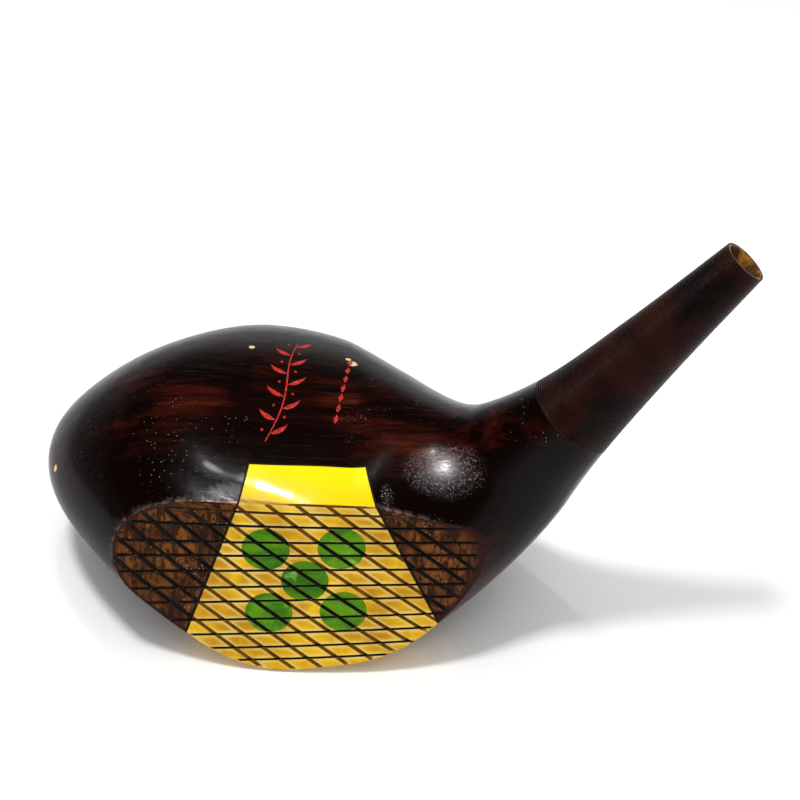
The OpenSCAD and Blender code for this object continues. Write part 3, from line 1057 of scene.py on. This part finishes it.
class MakeHeadWood(Operator):
    """Head and neck of lacquered wood, with its scored face, pocket, bore and recesses"""

    bl_idname = "driver_head.wood"
    bl_label = "Wooden head"

    def execute(self, context):
        sizes, colours = settings()
        head = blank_solid("wooden_head")
        cutter = face_cutter(sizes)
        pocket = keystone_prism("pocket", BEDDING_T)
        bore = prism("bore", circle_points(0, 0, BORE_R, 96), -BORE_DEPTH, 5.0, neck_place)
        recess = prism("recess", plate_outline(), -5.0, PLATE_T, columns_of)
        combined(head, "DIFFERENCE", cutter, pocket, bore, recess)
        discard(cutter, pocket, bore, recess)
        centres, facing = polygon_places(head.data)
        u, v, w = head_to_face(centres)
        on_face = (w - bulge(u) > -1.1) & (facing > 0.1)
        on_face &= (u < FACE_HEEL - 0.1) & (v < FACE_TOP - 1)
        on_face &= (skin_depth(centres) > 0.12) & (centres[:, 2] > 0.1)
        from_tip = centres - TIP
        inwards = from_tip @ NECK_DIR
        out = from_tip - inwards[:, None] * NECK_DIR
        in_bore = np.linalg.norm(out, axis=1) < BORE_R + 0.05
        in_bore &= inwards > -BORE_DEPTH - 0.1
        index = on_face * (1 + (line_kind(centres, sizes) > 0))
        index[in_bore] = 3
        points = point_places(head.data)
        u, v, w = head_to_face(points)
        # Band along the face's rim for the lacquer's pale edge: partly wear, partly a painted
        # highlight of the rounded edge, strongest by the insert on the toe side
        worn = np.clip(1 - np.abs(w - bulge(u)) / 0.6, 0, 1)
        worn *= (u < FACE_HEEL - 1) & (v < FACE_TOP - 1) & (v > 2)
        near_insert = np.clip(1 - (np.abs(u) - 15) / 14, 0, 1)
        worn *= np.where(u < 0, 0.15 + 0.85 * near_insert, 0.35 * near_insert)
        store(head, "worn_edge", worn)
        # Scuff zones of the lacquer; they also place the painted highlight glints
        scuff = np.zeros(len(points))
        for middle, radius, amount in SCUFFS_AND_GLINTS:
            away = np.linalg.norm((points - middle) / radius, axis=1)
            scuff = np.maximum(scuff, amount * np.clip(2 - 2 * away, 0, 1))
        store(head, "scuffed", scuff)
        toe, heel = keystone_sides(v, BEDDING_T)
        seam = np.where(v > -KEY_REACH, np.minimum(np.abs(u - toe), np.abs(u - heel)), 9.0)
        store(head, "seam_near", seam)
        note_lines(head)
        store(head, "rim_near", skin_depth(points))
        finish_piece(
            head,
            [lacquered_wood(colours), rough_face_wood(colours), scored_black(colours),
             bore_wood(colours)],
            index, crease=38, nodes=["head_body"],
        )
        return {"FINISHED"}


class MakeInsert(Operator):
    """Yellow keystone insert with its scored lines and the holes of its pegs"""

    bl_idname = "driver_head.insert"
    bl_label = "Face insert"

    def execute(self, context):
        sizes, colours = settings()
        insert = blank_solid("face_insert_block", around=320)
        key = keystone_prism("key")
        cutter = face_cutter(sizes)
        holes = [peg_prism(name, sizes.peg_gap, 5.0) for name in PEG_NODES]
        combined(insert, "INTERSECT", key)
        combined(insert, "DIFFERENCE", cutter, *holes)
        discard(key, cutter, *holes)
        centres, facing = polygon_places(insert.data)
        kind = line_kind(centres, sizes)
        kind[(facing < 0.1) | (skin_depth(centres) < 0.08)] = 0
        note_lines(insert)
        finish_piece(
            insert,
            [insert_resin(colours), scored_black(colours), slant_stain(colours)],
            kind, crease=30, nodes=["face_insert"],
        )
        return {"FINISHED"}


PEG_NODES = ["peg_upper_toe", "peg_upper_heel", "peg_middle", "peg_lower_toe", "peg_lower_heel"]
PEG_DEPTH = 6.0
PEG_R = 5.0


def peg_prism(node, gap, reach):
    """Round blank of a peg about the middle of its node's box, wider by gap."""
    low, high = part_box(node)
    middle = np.array((low + high) / 2) / MM
    u, v, _ = head_to_face(middle)
    return prism(
        node + "_blank", circle_points(u, v, PEG_R + gap, 72), -PEG_DEPTH - gap, reach,
        face_to_head,
    )


class MakePegs(Operator):
    """Five green pegs, scored with the face"""

    bl_idname = "driver_head.pegs"
    bl_label = "Pegs"

    def execute(self, context):
        sizes, colours = settings()
        green, black = peg_resin(colours), scored_black(colours)
        cutter = face_cutter(sizes)
        for node in PEG_NODES:
            peg = peg_prism(node, 0.0, 4.0)
            peg.name = node.replace("peg", "green_peg")
            combined(peg, "DIFFERENCE", cutter)
            centres, _ = polygon_places(peg.data)
            kind = np.minimum(line_kind(centres, sizes), 1)
            note_lines(peg)
            finish_piece(peg, [green, black], kind, nodes=[node])
        discard(cutter)
        return {"FINISHED"}


class MakeBedding(Operator):
    """Thin dark putty round and behind the insert"""

    bl_idname = "driver_head.bedding"
    bl_label = "Insert bedding"

    def execute(self, context):
        sizes, colours = settings()
        putty = blank_solid("insert_putty", around=200)
        outer = keystone_prism("outer", BEDDING_T)
        inner = keystone_prism("inner")
        cutter = face_cutter(sizes)
        combined(putty, "INTERSECT", outer)
        combined(putty, "DIFFERENCE", inner, cutter)
        discard(outer, inner, cutter)
        finish_piece(
            putty, [bedding_black(colours)], nodes=["insert_bedding"],
        )
        return {"FINISHED"}


class MakeWhipping(Operator):
    """Thread wound round the neck, one long helix of close turns"""

    bl_idname = "driver_head.whipping"
    bl_label = "Neck whipping"

    def execute(self, context):
        sizes, colours = settings()
        pitch, sides = sizes.thread_pitch, sizes.thread_sides
        half = WHIP_T / 2
        start, end = WHIP_L + half, NECK_END - half
        # One turn stays in place at either end before the thread begins to climb
        turns = (end - start) / pitch + 2
        steps = int(turns * 54)
        turn = np.linspace(0, turns, steps)
        length = start + pitch * np.clip(turn - 1, 0, turns - 2)
        angle = -2 * math.pi * turn
        # The thread's own section: an oval as high as the layer and as wide as the pitch
        a = np.linspace(0, 2 * math.pi, sides, endpoint=False)
        across = half * np.cos(a)[None, :]
        forward = pitch * 0.52 * np.sin(a)[None, :]
        points = blank_point(length[:, None] + forward, angle[:, None], half - across)
        thread = mesh_piece("wound_neck_thread", points, tube_faces(steps, sides))
        finish_piece(
            thread, [wound_thread(colours)], crease=180,
            nodes=["neck_whipping"],
        )
        return {"FINISHED"}


SCREW_NODES = [
    "screw_front_toe", "screw_front_heel", "screw_back_toe", "screw_back_heel", "screw_tail",
]


class FinishSole(Operator):
    """Metal of the sole plate, brass of its screws and lead of the weight"""

    bl_idname = "driver_head.sole"
    bl_label = "Sole plate, screws and weight"

    def execute(self, context):
        _, colours = settings()
        metal, brass, lead = brushed_plate(colours), dull_brass(colours), cast_lead(colours)
        finishes = {"sole_plate": metal, "sole_weight": lead}
        finishes.update({name: brass for name in SCREW_NODES})
        for name, material in finishes.items():
            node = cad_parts[name]
            node.data.materials.clear()
            node.data.materials.append(material)
        return {"FINISHED"}


def crown_height(x, y):
    """Height of the crown over a place: the upper half of its section solved for Z."""
    length = x + TOE_REACH
    off = y - along(length, 5)
    inside = np.clip(1 - np.abs(off / reach_of(length, off < 0, 3, 4)) ** CROWN_POWER, 0, 1)
    return MIDDLE_Z + along(length, 1) * toe_share(length) * inside ** (1 / CROWN_POWER)


def ribbon(path, width, lift=0.03):
    """Narrow strip along a path of places on the crown, its width given point by point:
    a closed band laid on the crown with its edges turned down into it."""
    path = np.asarray(path, float)
    way = np.gradient(path, axis=0)
    way /= np.linalg.norm(way, axis=1)[:, None] + 1e-9
    side = columns_of(-way[:, 1], way[:, 0])
    half = np.asarray(width)[:, None] / 2
    offsets = [-1.0, -0.5, 0.5, 1.0]
    lifts = [-0.12, lift, lift, -0.12]
    rows = []
    for offset, up in zip(offsets, lifts):
        xy = path + side * half * offset
        z = crown_height(xy[:, 0], xy[:, 1]) + up
        rows.append(np.concatenate([xy, z[:, None]], axis=1))
    under = rows[0] * 0.5 + rows[3] * 0.5
    under[:, 2] -= 0.12
    rows.append(under)
    points = np.stack(rows, axis=1)
    return points.reshape(-1, 3), tube_faces(*points.shape[:2])


class MakeOrnament(Operator):
    """Red sprig of leaves and a row of lozenges let into the crown"""

    bl_idname = "driver_head.ornament"
    bl_label = "Crown ornament"

    def execute(self, context):
        sizes, colours = settings()
        strips = []
        t = np.linspace(0, 1, 80)
        stem = columns_of(-10 + 6.2 * t + 1.1 * np.sin(5.4 * t), -12.5 + 37.5 * t)
        strips.append((stem, 0.4 + 0.15 * np.sin(math.pi * t)))
        leaves = 9
        for k in range(leaves):
            at = (k + 0.6) / leaves
            foot = stem[int(at * 79)]
            reach = sizes.leaf_length * (1 - 0.3 * abs(at - 0.45))
            side = -1 if k % 2 else 1
            s = np.linspace(0, 1, 20)
            lean = 1.25 - 0.75 * s
            step = columns_of(side * np.sin(lean), np.cos(lean)) * reach / 20
            leaf = foot + np.cumsum(step, axis=0)
            strips.append((leaf, 0.14 + 1.7 * np.sin(math.pi * s**0.8) ** 1.2))
            a = np.linspace(-1, 1, 9)
            berry = foot + np.array([-side * 1.7, 1.1]) + columns_of(a * 0.0, a * 0.42)
            strips.append((berry, 0.1 + 0.75 * np.sqrt(np.clip(1 - a * a, 0, 1))))
        for k in range(7):
            middle = np.array([4.9 + 0.45 * k, -4.5 + 3.7 * k])
            lozenge = middle + columns_of(a * 0.2, a * 1.5)
            strips.append((lozenge, 0.12 + 1.5 * (1 - np.abs(a))))
        points, faces, start = [], [], 0
        for path, width in strips:
            p, f = ribbon(path, width)
            points.append(p)
            faces += [[i + start for i in face] for face in f]
            start += len(p)
        sprig = mesh_piece("crown_sprig_inlay", np.concatenate(points), faces)
        finish_piece(sprig, [ornament_red(colours)])
        return {"FINISHED"}


# ----
# Stage

CAMERA_TARGET = Vector((0.0187662, 0.0, 0.0481419))
CAMERA_DISTANCE = 0.3280459
CAMERA_AZIMUTH = math.radians(-3.4785)
CAMERA_ELEVATION = math.radians(38.7256)
CAMERA_ROLL = math.radians(-5.0695)
CAMERA_LENS = 67.12

# Brightness of the sky from the horizon up, and from the toe's side to the heel's:
# between these two heights or places, from this value to that
SKY_FADE = (0.1, 0.4, 0.9, 0.03)
SKY_SIDE = (-0.8, -0.15, 0.15, 1.0)
# Lamps: name, place in metres, size, power, whether the lacquer mirrors it
LAMPS = [
    ("key_lamp", (-0.19, -0.06, 0.98), 0.14, 5.0, True),
    ("insert_lamp", (-0.11, 0.29, 0.95), 0.05, 0.8, True),
    ("top_fill", (0.1, 0.1, 1.5), 2.4, 20.0, False),
    ("front_fill", (-0.3, -1.15, 0.45), 1.3, 6.0, False),
]
LAMP_TARGET = Vector((0.01, 0, 0.03))


def soft_light(name, place, size, power, mirrored):
    """Round soft lamp at a place, aimed at the head."""
    data = bpy.data.lights.new(name, "AREA")
    data.shape = "DISK"
    data.size = size
    data.energy = power
    lamp = bpy.data.objects.new(name, data)
    bpy.context.scene.collection.objects.link(lamp)
    lamp.location = place
    lamp.rotation_mode = "QUATERNION"
    lamp.rotation_quaternion = (LAMP_TARGET - lamp.location).to_track_quat("-Z", "Y")
    lamp.visible_glossy = mirrored


class MakeStage(Operator):
    """Pale ground, soft lights and the camera"""

    bl_idname = "driver_head.stage"
    bl_label = "Stage"

    def execute(self, context):
        _, colours = settings()
        scene = bpy.context.scene
        reach, n = 3.0, 24
        xs = np.linspace(-reach, reach, n)
        gx, gy = np.meshgrid(xs, xs)
        points = columns_of(gx, gy, np.full_like(gx, -0.0002)).reshape(-1, 3) / MM
        ground = mesh_piece("ground", points, grid_quads(n, n).tolist(), closed=False)
        ground.data.materials.append(pale_ground(colours))

        world = bpy.data.worlds.new("studio")
        scene.world = world
        world.use_nodes = True
        sky = Nodes(world.node_tree)
        way = sky.node("SeparateXYZ", Vector=sky.places["Generated"])
        fade = sky.ramp(way.outputs["Z"], *SKY_FADE)
        side = sky.ramp(way.outputs["X"], *SKY_SIDE)
        back = sky.node("Background", Color=(1.0, 1.0, 1.0), Strength=sky.times(fade, side))
        sky.node("OutputWorld", Surface=back.outputs[0])

        for lamp in LAMPS:
            soft_light(*lamp)

        data = bpy.data.cameras.new("camera")
        data.lens, data.sensor_width = CAMERA_LENS, 36.0
        data.clip_start, data.clip_end = 0.01, 20.0
        camera = bpy.data.objects.new("camera", data)
        scene.collection.objects.link(camera)
        turn = (
            Matrix.Rotation(CAMERA_AZIMUTH, 4, "Z")
            @ Matrix.Rotation(math.pi / 2 - CAMERA_ELEVATION, 4, "X")
            @ Matrix.Rotation(-CAMERA_ROLL, 4, "Z")
        )
        back_way = turn.col[2].to_3d()
        camera.matrix_world = Matrix.Translation(CAMERA_TARGET + back_way * CAMERA_DISTANCE) @ turn
        scene.camera = camera
        scene.view_settings.view_transform = "Standard"
        return {"FINISHED"}


class DriverHeadPanel(Panel):
    """Builds the driver head piece by piece"""

    bl_idname = "VIEW3D_PT_driver_head"
    bl_label = "Driver head"
    bl_space_type = "VIEW_3D"
    bl_region_type = "UI"
    bl_category = "Driver head"

    def draw(self, context):
        for operator in OPERATORS:
            self.layout.operator(operator.bl_idname)
        for group in (context.scene.driver_head_sizes, context.scene.driver_head_colours):
            box = self.layout.box()
            for name in group.__annotations__:
                box.prop(group, name)


OPERATORS = (
    MakeHeadWood, MakeInsert, MakeBedding, MakePegs, MakeWhipping, FinishSole,
    MakeOrnament, MakeStage,
)
CLASSES = (DriverHeadSizes, DriverHeadColours) + OPERATORS + (DriverHeadPanel,)


def register():
    for cls in CLASSES:
        bpy.utils.register_class(cls)
    bpy.types.Scene.driver_head_sizes = PointerProperty(type=DriverHeadSizes)
    bpy.types.Scene.driver_head_colours = PointerProperty(type=DriverHeadColours)


def unregister():
    del bpy.types.Scene.driver_head_colours
    del bpy.types.Scene.driver_head_sizes
    for cls in reversed(CLASSES):
        bpy.utils.unregister_class(cls)


def main():
    register()
    for operator in OPERATORS:
        group, name = operator.bl_idname.split(".")
        getattr(getattr(bpy.ops, group), name)()


if __name__ == "__main__":
    main()
